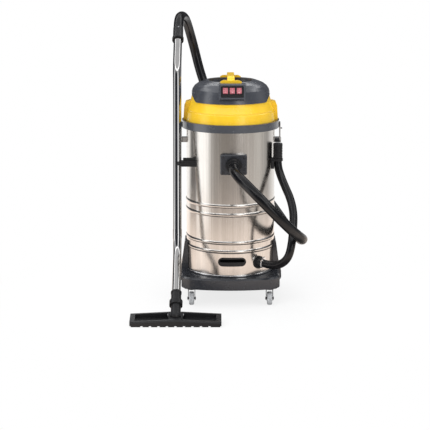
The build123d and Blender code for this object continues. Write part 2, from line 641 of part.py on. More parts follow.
for step in range(-5, 6):
    housing -= Rot(0, 0, step * 5.5) * block((-3, 3), (180, 230), (820, 846))
GLAND_ANGLE = 45.0
GLAND_Z = 829.0


def gland_point(reach):
    return level_point(GLAND_ANGLE, reach, GLAND_Z)


housing -= rod(gland_point(185), gland_point(230), 9)
parts["head_housing"] = housing
gland = rod(gland_point(193), gland_point(221), 9) + rod(gland_point(202), gland_point(208), 13)
parts["cord_gland"] = gland - rod(gland_point(185), gland_point(240), 4.5)


# Top cover: the charcoal cap with a round recess for the handle, a front apron and the switch console.
cover_line = [(0, HOUSING_TOP - 3), (COVER_RADIUS, HOUSING_TOP - 3), (COVER_RADIUS, 941), (170.5, 953),
              (161, 967), (146, 978), (128, 985.5), (112, COVER_TOP), (COVER_RECESS_RADIUS, COVER_TOP),
              (COVER_RECESS_RADIUS - 6, COVER_RECESS_FLOOR), (0, COVER_RECESS_FLOOR - 4)]
core_radius = COVER_RADIUS - SHELL
core_top = COVER_TOP - 3.4
cover_core = [(0, APRON_BOTTOM - 2), (core_radius, APRON_BOTTOM - 2), (core_radius, 940), (167.6, 951.8),
              (158.9, 964.7), (144.6, 975.2), (127.2, 982.4), (112, core_top), (COVER_RECESS_RADIUS + 3, core_top),
              (COVER_RECESS_RADIUS - 2.5, COVER_RECESS_FLOOR - 3.4), (0, COVER_RECESS_FLOOR - 7.4)]
cover_block = turned(cover_line)
panel_mid = ((PANEL_LOW[0] + PANEL_HIGH[0]) / 2, (PANEL_LOW[1] + PANEL_HIGH[1]) / 2)
panel_up = Vector(0, PANEL_HIGH[0] - PANEL_LOW[0], PANEL_HIGH[1] - PANEL_LOW[1]).normalized()
panel_out = Vector(0, -panel_up.Z, panel_up.Y)
panel = Plane(origin=(PANEL_X, *panel_mid), x_dir=(1, 0, 0), z_dir=panel_out)
console_line = [PANEL_LOW, PANEL_HIGH, (-166, COVER_TOP), (-118, COVER_TOP - 1), (-118, PANEL_LOW[1])]
console = side_cut(console_line, PANEL_HALF + 8, PANEL_X)
level_edges = console.edges().filter_by(Axis.X)
front_sides = [edge for edge in console.edges() if edge not in level_edges and edge.center().Y < PANEL_HIGH[0]]
console = fillet(front_sides, 7)
FRAME_PROUD = 3.5
frame = RectangleRounded(2 * PANEL_HALF + 12, 2 * PANEL_RISE + 12, 9)
frame -= RectangleRounded(2 * PANEL_HALF, 2 * PANEL_RISE, 5)
console += panel * Pos(0, 0, -1) * extrude(frame, FRAME_PROUD + 1)
console += panel * Pos(0, PANEL_RISE + 3.5, FRAME_PROUD) * Box(2 * PANEL_HALF - 4, 4, 5)
housing_block = turned(housing_line + [(0, HOUSING_TOP), (0, PAN_FLOOR)])
cover = cover_block + console - turned(cover_core)
cover -= panel * Pos(0, 0, -16) * Box(2 * PANEL_HALF - 12, 2 * PANEL_RISE - 10, 24)
slope = (WAIST[0] - HOUSING_TOP_RADIUS) / (HOUSING_TOP - WAIST[1])
apron_low = HOUSING_TOP_RADIUS + (HOUSING_TOP - APRON_BOTTOM) * slope
apron = turned([(apron_low + 0.2, APRON_BOTTOM), (apron_low + 4, APRON_BOTTOM), (COVER_RADIUS, HOUSING_TOP + 3),
                (COVER_RADIUS - SHELL, HOUSING_TOP + 3), (HOUSING_TOP_RADIUS + 0.2, HOUSING_TOP)])
window_line = [(-APRON_HALF, APRON_BOTTOM - 1), (APRON_HALF, APRON_BOTTOM - 1),
               (APRON_HALF + 24, HOUSING_TOP + 4), (-APRON_HALF - 24, HOUSING_TOP + 4)]
window = front_cut(window_line, 100, -130)
window = fillet(window.edges().filter_by(Axis.Y).group_by(Axis.Z)[0], 14)
cover += apron & window
cover -= housing_block
cover -= panel * Pos(0, 0, -3) * Box(2 * PANEL_HALF, 2 * PANEL_RISE, 6)
parts["top_cover"] = cover


# Carry handle: a bar from front to back over the recess, on a wide foot at each end.
half_arch = [(80, HANDLE_TOP), (95, HANDLE_TOP - 6), (115, HANDLE_BASE + 13), (115, HANDLE_BASE),
             (99, HANDLE_BASE), (99, HANDLE_UNDER - 6), (85, HANDLE_UNDER)]
bar = side_cut(half_arch + [(-y, z) for y, z in half_arch[::-1]], HANDLE_WIDTH / 2)
bar = fillet(bar.edges().filter_by(lambda edge: edge.length > 150), 5)
foot_half = HANDLE_FOOT / 2
foot_line = [(-foot_half, HANDLE_BASE), (foot_half, HANDLE_BASE), (foot_half, 994), (foot_half - 12, 1000),
             (12 - foot_half, 1000), (-foot_half, 994)]
for side in (-1, 1):
    bar += front_cut(foot_line, 10, side * 107)
parts["carry_handle"] = bar - cover_block


# Switches: a bezel sunk in the console and three rockers that tilt in it on their own pins.
ROCKER_LIFT = 6.0
ROCKER_DEPTH = -4.0
bezel_plate = panel * Pos(0, 0, -4) * Box(2 * PANEL_HALF - 0.4, 2 * PANEL_RISE - 0.4, 4)
rocker_places = [(-ROCKER_PITCH, ROCKER_LIFT), (0, ROCKER_LIFT), (ROCKER_PITCH, ROCKER_LIFT)]
for number, (across, up) in enumerate(rocker_places, 1):
    seat = panel * Pos(across, up, ROCKER_DEPTH)
    bezel_plate -= seat * Box(ROCKER_SIZE[0] + 1, ROCKER_SIZE[1] + 2, 10)
    bezel_plate -= seat * Rot(0, 90, 0) * Cylinder(1.55, ROCKER_SIZE[0] + 4)
    key = Box(*ROCKER_SIZE, 12)
    key = fillet(key.faces().sort_by(Axis.Z)[-1].edges(), 1.5)
    key -= Pos(0, 0, 46) * Rot(0, 90, 0) * Cylinder(41.5, 40)
    key += Rot(0, 90, 0) * Cylinder(1.5, ROCKER_SIZE[0] + 3.4)
    parts[f"switch_rocker_{number}"] = seat * Rot(ROCKER_REST, 0, 0) * key
parts["switch_bezel"] = bezel_plate


# Motors: a stepped casing with a fan room below and a field room above, and a rotor on an upright shaft in each.
def motor_case(x, y):
    low = PAN_FLOOR + 3
    case = disc(70, low, 846, x, y) + disc(46, 846, 930, x, y)
    case -= disc(22, low - 1, low + 6, x, y)
    case -= disc(66, low + 5, 840, x, y)
    case -= disc(42, 846, 925, x, y)
    return case - disc(4 + RUNNING, 835, 940, x, y)


def motor_rotor(x, y):
    shaft = disc(4, 808, 934, x, y)
    return shaft + disc(60, 818, 825, x, y) + disc(30, 856, 906, x, y) + disc(14, 906, 920, x, y)


for number, centre in enumerate(motor_centres, 1):
    parts[f"motor_{number}"] = motor_case(*centre)
    parts[f"rotor_{number}"] = motor_rotor(*centre)
parts["muffler_foam"] = ring(160, 182, 858, 880)


# Under the pan: the float cage with its ball, and the cloth filter on its ring.
cage = ring(52, 55, 637, GASKET_TOP) + disc(55, 637, 640)
for step in range(3):
    cage -= Rot(0, 0, step * 60) * block((-70, 70), (-16, 16), (648, 770))
parts["float_cage"] = cage
parts["float_ball"] = Pos(0, 0, 670.4) * Sphere(30)
parts["filter_ring"] = ring(108, 140, 780, GASKET_TOP)
parts["filter_bag"] = turned([(0, 542), (101, 542), (118, 780), (115.5, 780), (99, 544.5), (0, 544.5)])


# Latches: a wire loop with a thumb plate, hinged in a base on each side of the tank.
def latch_base(side):
    base = block((185, LATCH_X + 6), (-14.5, 14.5), (LATCH_Z - 11, LATCH_Z + 11))
    base = fillet(base.faces().sort_by(Axis.X)[-1].edges(), 3)
    base -= disc(TANK_RADIUS, LATCH_Z - 20, LATCH_Z + 20)
    base -= rod((LATCH_X, -30, LATCH_Z), (LATCH_X, 30, LATCH_Z), WIRE_RADIUS + RUNNING)
    return base if side > 0 else mirror(base, about=Plane.YZ)


def latch(side):
    corners = [(LATCH_X, sign * LATCH_HALF, z) for sign in (-1, 1) for z in (LATCH_Z, keeper_top)]
    wire = rod(corners[0], corners[2], WIRE_RADIUS) + rod(corners[1], corners[3], WIRE_RADIUS)
    wire += rod(corners[0], corners[1], WIRE_RADIUS) + rod(corners[2], corners[3], WIRE_RADIUS)
    for corner in corners:
        wire += Pos(*corner) * Sphere(WIRE_RADIUS)
    wire += block((LATCH_X - 1.2, LATCH_X + 1.2), (-LATCH_HALF, LATCH_HALF), (LATCH_Z + 17, LATCH_Z + 52))
    wire += block((LATCH_X - 1.2, LATCH_X + 10), (-14, 14), (LATCH_Z + 50, LATCH_Z + 52.4))
    return wire if side > 0 else mirror(wire, about=Plane.YZ)


parts["latch_bases"] = Compound(children=[latch_base(side).solid() for side in (-1, 1)])
parts["latch_left"] = latch(-1)
parts["latch_right"] = latch(1)


# Fasteners: screw heads on the inlet plate, bolt heads in the tank's floor and screws under the pan.
tank_screws = []
for x in (INLET_X - 47, INLET_X + 47):
    for z in (-33, 33):
        seat = Vector(x, INLET_PLATE_FRONT, INLET_Z + z)
        tank_screws.append(rod(seat - Vector(0, 2.2, 0), seat, 4.5))
for x in (-105, 105):
    for y in (-105, 105):
        tank_screws.append(disc(8, TANK_BOTTOM + TANK_WALL, TANK_BOTTOM + TANK_WALL + 4, x, y))
parts["tank_fasteners"] = Compound(children=[screw.solid() for screw in tank_screws])
head_screws = [disc(5, GASKET_TOP - 3.5, GASKET_TOP, *tuple(level_point(angle, 186, 0))[:2])
               for angle in range(30, 390, 60)]
parts["head_screws"] = Compound(children=[screw.solid() for screw in head_screws])

os.makedirs("parts", exist_ok=True)
for name, shape in parts.items():
    export_step(shape, f"parts/{name}.step")
print(len(parts), "nodes")
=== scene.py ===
import json
import math

import bmesh
import bpy
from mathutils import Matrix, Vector, noise


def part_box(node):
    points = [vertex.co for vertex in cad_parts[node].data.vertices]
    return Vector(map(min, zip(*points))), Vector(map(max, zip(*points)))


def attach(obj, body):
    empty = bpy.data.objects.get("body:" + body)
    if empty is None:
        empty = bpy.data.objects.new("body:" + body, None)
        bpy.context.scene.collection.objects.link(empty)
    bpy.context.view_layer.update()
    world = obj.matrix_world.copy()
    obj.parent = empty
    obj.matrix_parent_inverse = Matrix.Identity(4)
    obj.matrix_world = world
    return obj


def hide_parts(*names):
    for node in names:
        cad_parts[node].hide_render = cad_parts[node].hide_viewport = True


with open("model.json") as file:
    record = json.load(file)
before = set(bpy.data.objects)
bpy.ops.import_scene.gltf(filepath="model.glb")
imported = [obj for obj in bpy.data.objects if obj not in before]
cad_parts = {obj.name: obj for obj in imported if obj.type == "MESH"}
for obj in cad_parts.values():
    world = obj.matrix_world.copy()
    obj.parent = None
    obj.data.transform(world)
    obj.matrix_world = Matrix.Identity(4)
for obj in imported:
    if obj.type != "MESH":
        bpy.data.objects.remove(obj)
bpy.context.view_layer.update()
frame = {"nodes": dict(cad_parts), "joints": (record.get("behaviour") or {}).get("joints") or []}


# Dolly: one tray moulded in charcoal polypropylene with a fine grained skin, and a wing up each side of the
# tank. The tank's floor is bolted down to it. Its corners are rubbed paler by walls and shoes.
class Tone:
    """A number or a colour that changes over a surface. A sum on it adds Math nodes to its material."""

    def __init__(self, sheet, socket):
        self.sheet = sheet
        self.socket = socket

    def maths(self, operation, first, second):
        return self.sheet.node("ShaderNodeMath", {"operation": operation}, {0: first, 1: second})

    def __add__(self, other):
        return self.maths("ADD", self, other)

    def __sub__(self, other):
        return self.maths("SUBTRACT", self, other)

    def __rsub__(self, other):
        return self.maths("SUBTRACT", other, self)

    def __mul__(self, other):
        return self.maths("MULTIPLY", self, other)

    def __truediv__(self, other):
        return self.maths("DIVIDE", self, other)

    def __pow__(self, other):
        return self.maths("POWER", self, other)

    __radd__ = __add__
    __rmul__ = __mul__


class NodeSheet:
    """A node tree that is written one node at a time."""

    def __init__(self, tree):
        self.tree = tree

    def join(self, socket, value):
        if isinstance(value, Tone):
            self.tree.links.new(value.socket, socket)
        else:
            socket.default_value = value

    def node(self, kind, settings=None, sockets=None, output=0):
        """Adds a node, sets its settings first, then its sockets, and returns one of its outputs."""
        made = self.tree.nodes.new(kind)
        for name, value in (settings or {}).items():
            if name == "stops":
                ramp = made.color_ramp.elements
                for place, _ in value[2:]:
                    ramp.new(place)
                for element, (place, colour) in zip(ramp, value):
                    element.position = place
                    element.color = colour
            else:
                setattr(made, name, value)
        for name, value in (sockets or {}).items():
            self.join(made.inputs[name], value)
        return Tone(self, made.outputs[output])

    def split(self, vector):
        """The x, y and z of a vector."""
        apart = self.node("ShaderNodeSeparateXYZ", None, {"Vector": vector})
        return [Tone(self, socket) for socket in apart.socket.node.outputs]

    def span(self, value, low, high, start=0.0, end=1.0):
        """Takes a tone from low..high to start..end, and holds it at those ends."""
        ends = {"Value": value, "From Min": low, "From Max": high, "To Min": start, "To Max": end}
        return self.node("ShaderNodeMapRange", {"interpolation_type": "SMOOTHSTEP"}, ends)

    def mix(self, factor, first, second):
        return self.node("ShaderNodeMix", {"data_type": "RGBA"}, {0: factor, 6: first, 7: second}, output=2)


class Finish(NodeSheet):
    """A material: where it is on the piece, its shader, and the patterns that lead to the shader."""

    def __init__(self, name, constants):
        self.material = bpy.data.materials.new(name)
        self.material.use_nodes = True
        super().__init__(self.material.node_tree)
        self.shader = self.tree.nodes["Principled BSDF"]
        self.place = self.node("ShaderNodeTexCoord", output="Object")
        self.drive(constants)

    def drive(self, sockets):
        for name, value in sockets.items():
            self.join(self.shader.inputs[name], value)

    def noise(self, scale, detail=2.0, stretch=(1, 1, 1)):
        place = self.node("ShaderNodeMapping", sockets={"Vector": self.place, "Scale": stretch})
        return self.node("ShaderNodeTexNoise", sockets={"Vector": place, "Scale": scale, "Detail": detail})

    def bump(self, height, distance, normal=None):
        sockets = {"Height": height, "Distance": distance}
        if normal:
            sockets["Normal"] = normal
        return self.node("ShaderNodeBump", None, sockets)

    def rounded(self, radius):
        """A normal that turns over sharp edges as if they had that radius."""
        return self.node("ShaderNodeBevel", {"samples": 4}, {"Radius": radius})

    def edges(self, rounded):
        """One along the outer and inner edges that a rounded normal turns over, none on flats."""
        flat = self.node("ShaderNodeNewGeometry", output="Normal")
        ways = {0: rounded, 1: flat}
        agree = self.node("ShaderNodeVectorMath", {"operation": "DOT_PRODUCT"}, ways, "Value")
        return self.span(1 - agree, 0.03, 0.3)


def tinted(colour, share):
    """A colour made darker or lighter, with the opacity that sockets want."""
    return [share * channel for channel in colour] + [1]


def moulded(name, colour, rubbed, roughness, grain, wear=0.6, shine=0.45):
    """A moulded plastic: mottled, with a fine grain, and rubbed to a paler tone along its edges."""
    finish = Finish(name, {"Specular IOR Level": shine})
    soft_edge = finish.rounded(0.0018)
    mottle = finish.noise(9.0, 4.0)
    scuff = finish.span(finish.noise(38.0, 5.0), 0.52, 0.75)
    worn = finish.edges(soft_edge) * (0.25 + 0.75 * scuff) * wear
    shade = finish.mix(finish.span(mottle, 0.3, 0.7), tinted(colour, 0.93), tinted(colour, 1.05))
    pits = finish.noise(grain, 2.0)
    finish.drive({
        "Base Color": finish.mix(worn, shade, (*rubbed, 1)),
        "Roughness": roughness - 0.05 + 0.08 * mottle + 0.12 * scuff,
        "Normal": finish.bump(pits, 0.00012, soft_edge),
    })
    return finish.material


def dress(material, *nodes):
    """Gives CAD nodes their finish."""
    for node in nodes:
        for slot in frame["nodes"][node].material_slots:
            slot.material = material


CHARCOAL, RUBBED_CHARCOAL = (0.028, 0.030, 0.036), (0.12, 0.125, 0.135)
charcoal_plastic = moulded("charcoal_polypropylene", CHARCOAL, RUBBED_CHARCOAL, 0.24, 1700, shine=0.75)
dress(charcoal_plastic, "dolly_base")


# Castors: zinc plated plates, each with a kingpin and bolted up under a corner of the dolly by four bolts.
# The forks are pressed steel and turn on the kingpins; their dark colour is painted shade, for the shade they
# stand in under the dolly. The wheels are moulded in light grey plastic, turn on an axle between the fork's
# cheeks and hold dirt in their tread.
def plated(name, colour, roughness):
    """Bare or plated metal, clouded and with a fine crystal grain."""
    finish = Finish(name, {"Metallic": 1.0})
    soft_edge = finish.rounded(0.0008)
    cloud = finish.noise(26.0, 4.0)
    spangle = finish.node("ShaderNodeTexVoronoi", None, {"Vector": finish.place, "Scale": 420.0}, "Color")
    grain = finish.node("ShaderNodeRGBToBW", None, {"Color": spangle})
    finish.drive({
        "Base Color": finish.mix(finish.span(cloud, 0.35, 0.75), (*colour, 1), tinted(colour, 0.72)),
        "Roughness": roughness + 0.14 * cloud + 0.05 * grain,
        "Normal": finish.bump(grain, 0.00002, soft_edge),
    })
    return finish.material


def wheel_tread():
    """Light grey plastic with patches of ground-in dirt."""
    finish = Finish("grey_wheel_tread", {"Specular IOR Level": 0.35})
    soft_edge = finish.rounded(0.0012)
    dirt = finish.span(finish.noise(60.0, 5.0), 0.42, 0.72)
    finish.drive({
        "Base Color": finish.mix(dirt * 0.55, (0.50, 0.51, 0.52, 1), (0.20, 0.19, 0.18, 1)),
        "Roughness": 0.52 + 0.25 * dirt,
        "Normal": finish.bump(finish.noise(900.0), 0.00015, soft_edge),
    })
    return finish.material


def skinned(name, rings, capped=False, looped=True, smooth=True):
    """A piece whose skin joins rows of points, each with as many points as the next."""
    shape = bmesh.new()
    rows = [[shape.verts.new(place) for place in ring] for ring in rings]
    count = len(rows[0])
    for lower, upper in zip(rows, rows[1:]):
        for step in range(count if looped else count - 1):
            after = (step + 1) % count
            shape.faces.new((lower[step], lower[after], upper[after], upper[step]))
    if capped:
        shape.faces.new(rows[0])
        shape.faces.new(rows[-1])
    bmesh.ops.remove_doubles(shape, verts=shape.verts, dist=1e-6)
    bmesh.ops.recalc_face_normals(shape, faces=shape.faces)
    for face in shape.faces:
        face.smooth = smooth
    mesh = bpy.data.meshes.new(name)
    shape.to_mesh(mesh)
    shape.free()
    piece = bpy.data.objects.new(name, mesh)
    bpy.context.scene.collection.objects.link(piece)
    return piece


def ring(radius, z, turns):
    """Places on a level circle about the z axis."""
    return [(radius * math.cos(turn), radius * math.sin(turn), z) for turn in turns]


def cross_head():
    """A pan head of unit radius with a cross sunk in it, on twelve sides."""
    turns = [math.radians(30 * step - 15) for step in range(12)]
    cross = [0.20 if step % 3 == 2 else 0.52 for step in range(12)]
    rings = [ring(radius, z, turns) for radius, z in ((1.0, 0.0), (1.0, 0.22), (0.80, 0.46))]
    for z in (0.52, 0.16):
        rings.append([(r * math.cos(turn), r * math.sin(turn), z) for r, turn in zip(cross, turns)])
    return skinned("cross_head", rings, capped=True, smooth=False)


def hex_head():
    """A bolt head of unit radius with a chamfered top, on a washer face."""
    turns = [math.radians(60 * step) for step in range(6)]
    levels = ((1.15, 0.0), (1.15, 0.10), (1.0, 0.12), (1.0, 0.58), (0.82, 0.70))
    return skinned("hex_head", [ring(radius, z, turns) for radius, z in levels], capped=True, smooth=False)


def dome_head():
    """A low round rivet head of unit radius."""
    turns = [math.radians(36 * step) for step in range(10)]
    levels = ((1.0, 0.0), (0.96, 0.20), (0.74, 0.42), (0.38, 0.54), (0.08, 0.57))
    return skinned("dome_head", [ring(radius, z, turns) for radius, z in levels], capped=True)


class GrowthSheet(NodeSheet):
    """A geometry node tree with named inputs, which ends in plain geometry with a finish."""

    def __init__(self, name, inputs):
        super().__init__(bpy.data.node_groups.new(name, "GeometryNodeTree"))
        for socket, kind in inputs.items():
            self.tree.interface.new_socket(socket, in_out="INPUT", socket_type="NodeSocket" + kind)
        self.tree.interface.new_socket("Grown", in_out="OUTPUT", socket_type="NodeSocketGeometry")
        given = self.tree.nodes.new("NodeGroupInput").outputs
        self.given = [Tone(self, given[socket]) for socket in inputs]

    def end(self, geometry, material):
        plain = self.node("GeometryNodeRealizeInstances", None, {"Geometry": geometry})
        dressed = self.node("GeometryNodeSetMaterial", None, {"Geometry": plain, "Material": material})
        self.join(self.tree.nodes.new("NodeGroupOutput").inputs[0], dressed)
        return self.tree


def set_heads():
    """Geometry nodes that put a head on each seat, along the seat's facing and turned at random."""
    inputs = {"Seats": "Geometry", "Head": "Object", "Size": "Float", "Finish": "Material"}
    sheet = GrowthSheet("set heads", inputs)
    seats, head, size, material = sheet.given
    facing = sheet.node("GeometryNodeInputNamedAttribute", {"data_type": "FLOAT_VECTOR"},
                        {"Name": "facing"})
    upright = sheet.node("FunctionNodeAlignRotationToVector", {"axis": "Z"}, {"Vector": facing})
    full_turn = {2: 0.0, 3: 2 * math.pi, "Seed": 4}
    angle = sheet.node("FunctionNodeRandomValue", {"data_type": "FLOAT"}, full_turn, 1)
    twist = sheet.node("FunctionNodeAxisAngleToRotation", None, {"Axis": (0, 0, 1), "Angle": angle})
    turned = sheet.node("FunctionNodeRotateRotation", {"rotation_space": "LOCAL"},
                        {"Rotation": upright, "Rotate By": twist})
    shape = sheet.node("GeometryNodeObjectInfo", None, {"Object": head}, "Geometry")
    placed = sheet.node("GeometryNodeInstanceOnPoints", None,
                        {"Points": seats, "Instance": shape, "Rotation": turned, "Scale": size})
    return sheet.end(placed, material)


def grown(maker, tree, sizes, name):
    """Runs a geometry node tree on a piece and returns its result as a plain mesh piece."""
    modifier = maker.modifiers.new(tree.name, "NODES")
    modifier.node_group = tree
    for socket in tree.interface.items_tree:
        if socket.in_out == "INPUT" and socket.name in sizes:
            modifier[socket.identifier] = sizes[socket.name]
    graph = bpy.context.evaluated_depsgraph_get()
    mesh = bpy.data.meshes.new_from_object(maker.evaluated_get(graph), depsgraph=graph)
    bpy.data.objects.remove(maker)
    piece = bpy.data.objects.new(name, mesh)
    bpy.context.scene.collection.objects.link(piece)
    return piece


head_tree = set_heads()


def fasteners(name, body, head, seats, size, finish):
    """Screws, bolts or rivets of one kind on a body. A seat is a place and the way that its head faces."""
    mesh = bpy.data.meshes.new(name + "_seats")
    mesh.from_pydata([place for place, _ in seats], [], [])
    facing = mesh.attributes.new("facing", "FLOAT_VECTOR", "POINT")
    for mark, (_, way) in zip(facing.data, seats):
        mark.vector = way
    maker = bpy.data.objects.new(name + "_seats", mesh)
    bpy.context.scene.collection.objects.link(maker)
    pattern = head()
    piece = grown(maker, head_tree, {"Head": pattern, "Size": size, "Finish": finish}, name)
    bpy.data.objects.remove(pattern)
    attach(piece, body)
    return piece


zinc = plated("zinc_plate", (0.50, 0.51, 0.53), 0.24)
# Dark steel for the small screws and the wand's button; on the castor forks its darkness is painted shade.
dark_steel_and_fork_shade = plated("blackened_steel", (0.10, 0.10, 0.11), 0.30)
grey_tread = wheel_tread()
dress(zinc, "castor_plates")
PLATE_FACE, BOLT_REACH, PLATE_BOLT_RADIUS = 0.077, 0.0245, 0.0038
pivots = {joint["name"]: joint["pos_m"] for joint in frame["joints"] if joint["type"] == "hinge"}
four_ways = [(side, end) for side in (-1, 1) for end in (-1, 1)]
plate_bolts = []
for corner in ("front_left", "rear_left", "front_right", "rear_right"):
    # Painted shade: the forks take the dark steel for the shade under the dolly.
    dress(dark_steel_and_fork_shade, "castor_fork_" + corner)
    dress(grey_tread, "castor_wheel_" + corner)
    kingpin_x, kingpin_y, _ = pivots[f"castor_{corner}_swivel"]
    for side, end in four_ways:
        place = (kingpin_x + side * BOLT_REACH, kingpin_y + end * BOLT_REACH, PLATE_FACE)
        plate_bolts.append((place, (0, 0, -1)))
fasteners("castor_plate_bolts", "chassis", hex_head, plate_bolts, PLATE_BOLT_RADIUS, zinc)


# Tank: one stainless sheet rolled into a drum and welded up the back, brushed up and down and then polished,
# with two pairs of rolled beads. A pressed floor closes it and takes four bolts into the dolly. The brushing
# shows as fine upright lines, and hands have left it duller here and there.
def stainless():
    """Brushed and polished steel, streaked along z and smudged."""
    finish = Finish("polished_stainless", {"Metallic": 1.0})
    streak = finish.noise(330.0, 3.0, (1, 1, 0.006))
    band = finish.noise(26.0, 2.0, (1, 1, 0.05))
    smudge = finish.span(finish.noise(11.0, 5.0), 0.5, 0.8)
    tone = 0.55 * streak + 0.45 * band
    dark, bright = (0.64, 0.61, 0.575, 1), (0.78, 0.75, 0.715, 1)
    finish.drive({
        "Base Color": finish.mix(finish.span(tone, 0.3, 0.7), dark, bright),
        "Roughness": 0.13 + 0.14 * streak + 0.10 * smudge,
        "Normal": finish.bump(streak, 0.00003),
    })
    return finish.material


def chrome_plate(name, colour, roughness):
    """Bright plating with a light haze and fine rub marks along z."""
    finish = Finish(name, {"Metallic": 1.0})
    haze = finish.span(finish.noise(17.0, 5.0), 0.45, 0.8)
    rub = finish.noise(700.0, 2.0, (1, 1, 0.05))
    finish.drive({
        "Base Color": finish.mix(haze, (*colour, 1), tinted(colour, 0.88)),
        "Roughness": roughness + 0.10 * haze + 0.03 * rub,
        "Normal": finish.bump(rub, 0.00001),
    })
    return finish.material


BEAD_HEIGHTS = (0.247, 0.287, 0.414, 0.454)
BEAD_HALF, BEAD_RISE = 0.009, 0.0035
BEAD_ARC = (BEAD_HALF ** 2 + BEAD_RISE ** 2) / (2 * BEAD_RISE)
TANK_RADIUS = 0.200


def wall_radius(z):
    """The tank wall's radius at a height, with an arc over each bead."""
    apart = min(abs(z - middle) for middle in BEAD_HEIGHTS)
    if apart >= BEAD_HALF:
        return TANK_RADIUS
    return TANK_RADIUS + math.sqrt(BEAD_ARC ** 2 - apart ** 2) - BEAD_ARC + BEAD_RISE


def weld_seam():
    """The weld that closes the drum, up the middle of its back, with a ripple for each drop of metal."""
    low, high, step, drop, pitch, ripple = 0.1405, 0.780, 0.0006, 0.0005, 0.0024, 0.4
    across = ((-0.0022, -0.4), (-0.0011, 0.7), (0.0, 1.0), (0.0011, 0.7), (0.0022, -0.4))
    rows = []
    for index in range(int((high - low) / step)):
        z = low + index * step
        swell = drop * (1 + ripple * math.sin(2 * math.pi * z / pitch))
        rows.append([(x, wall_radius(z) + swell * lift, z) for x, lift in across])
    return skinned("tank_weld_seam", rows, looped=False)


stainless_steel = stainless()
bright_chrome = chrome_plate("bright_chrome", (0.80, 0.80, 0.81), 0.05)
dress(stainless_steel, "tank_shell", "tank_floor")
dress(bright_chrome, "base_hoop")
seam = weld_seam()
seam.data.materials.append(plated("weld_metal", (0.55, 0.52, 0.47), 0.22))
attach(seam, "chassis")
FLOOR_BOLT, FLOOR_FACE, FLOOR_BOLT_RADIUS = 0.105, 0.125, 0.0078
floor_bolts = [((side * FLOOR_BOLT, end * FLOOR_BOLT, FLOOR_FACE), (0, 0, 1)) for side, end in four_ways]
bolts = fasteners("tank_floor_bolts", "chassis", hex_head, floor_bolts, FLOOR_BOLT_RADIUS, zinc)
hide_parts("tank_fasteners")


# Inlet, grip and drain: black and charcoal mouldings on the tank's wall. The inlet plate is held by four
# screws, the hose's cuff by a ring that turns on the inlet, and the grip is let into the wall to tip the
# tank by. A steel band with a worm screw clamps the drain hose on its outlet, and its plug stands in a clip.
BLACK, RUBBED_BLACK = (0.013, 0.013, 0.014), (0.06, 0.06, 0.064)
black_plastic = moulded("black_nylon", BLACK, RUBBED_BLACK, 0.36, 1500, shine=0.32)
dress(charcoal_plastic, "inlet_plate")
dress(black_plastic, "inlet_socket", "inlet_deflector", "bayonet_ring", "hose_cuff_machine", "tip_grip",
      "drain_outlet", "drain_clip", "drain_plug")
dress(bright_chrome, "drain_hose_clamp")
INLET_SCREW_X, INLET_SCREW_Z, INLET_SCREW_RADIUS = 0.047, 0.033, 0.0045
plate_low, plate_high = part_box("inlet_plate")
plate_middle = (plate_low + plate_high) / 2
inlet_screws = []
for side, end in four_ways:
    place = (plate_middle.x + side * INLET_SCREW_X, plate_low.y, plate_middle.z + end * INLET_SCREW_Z)
    inlet_screws.append((place, (0, -1, 0)))
fasteners("inlet_screws", "chassis", cross_head, inlet_screws, INLET_SCREW_RADIUS, dark_steel_and_fork_shade)


def worm_box(centre, along, half, corner):
    """A small pressed box with rounded corners, its length level and square to the hose."""
    shape = bmesh.new()
    bmesh.ops.create_cube(shape, size=2.0)
    across = Vector((-along.y, along.x, 0))
    for vertex in shape.verts:
        x, y, z = vertex.co
        vertex.co = centre + along * (x * half[0]) + across * (y * half[1]) + Vector((0, 0, z * half[2]))
    bmesh.ops.bevel(shape, geom=shape.edges[:], offset=corner, segments=2, affect="EDGES")
    bmesh.ops.recalc_face_normals(shape, faces=shape.faces)
    mesh = bpy.data.meshes.new("clamp_worm_box")
    shape.to_mesh(mesh)
    shape.free()
    mesh.materials.append(bright_chrome)
    box = bpy.data.objects.new("clamp_worm_box", mesh)
    bpy.context.scene.collection.objects.link(box)
    return box


DRAIN_WAY = Vector((math.sqrt(0.5), -math.sqrt(0.5), 0))
CLAMP_LIFT, WORM_SCREW_RADIUS = 0.0245, 0.004
BOX_HALF, BOX_CORNER = (0.0055, 0.008, 0.0045), 0.0015
clamp_low, clamp_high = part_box("drain_hose_clamp")
clamp_top = (clamp_low + clamp_high) / 2 + Vector((0, 0, CLAMP_LIFT))
worm = worm_box(clamp_top, DRAIN_WAY, BOX_HALF, BOX_CORNER)
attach(worm, "chassis")
worm_side = Vector((DRAIN_WAY.y, -DRAIN_WAY.x, 0))
worm_seat = (clamp_top + worm_side * BOX_HALF[1], worm_side)
fasteners("clamp_worm_screw", "chassis", hex_head, [worm_seat], WORM_SCREW_RADIUS, zinc)


# Head: a charcoal pan that closes the tank, a yellow shell on it, a charcoal cover and a yellow handle over
# the cover's recess, all moulded. Six screws come up through the pan into the shell, and four go down
# through the floor of the recess.
YELLOW, RUBBED_YELLOW = (0.90, 0.56, 0.024), (0.96, 0.72, 0.18)
PALE_CHARCOAL, RUBBED_COVER = (0.054, 0.058, 0.069), (0.15, 0.155, 0.165)
yellow_plastic = moulded("yellow_abs", YELLOW, RUBBED_YELLOW, 0.20, 1300, wear=0.2, shine=0.6)
cover_plastic = moulded("charcoal_abs", PALE_CHARCOAL, RUBBED_COVER, 0.20, 1700, wear=0.4, shine=0.9)
dress(cover_plastic, "motor_pan", "top_cover")
dress(yellow_plastic, "head_housing", "carry_handle")
dress(black_plastic, "switch_bezel", "cord_gland", "float_cage", "filter_ring")
HEAD_SCREW_RADIUS = 0.005
PAN_SCREW_CIRCLE, PAN_SCREW_FACE = 0.186, 0.796
pan_turns = [math.radians(30 + 60 * step) for step in range(6)]
pan_screws = [(place, (0, 0, -1)) for place in ring(PAN_SCREW_CIRCLE, PAN_SCREW_FACE, pan_turns)]
screws = fasteners("pan_screws", "head", cross_head, pan_screws, HEAD_SCREW_RADIUS, zinc)
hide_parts("head_screws")
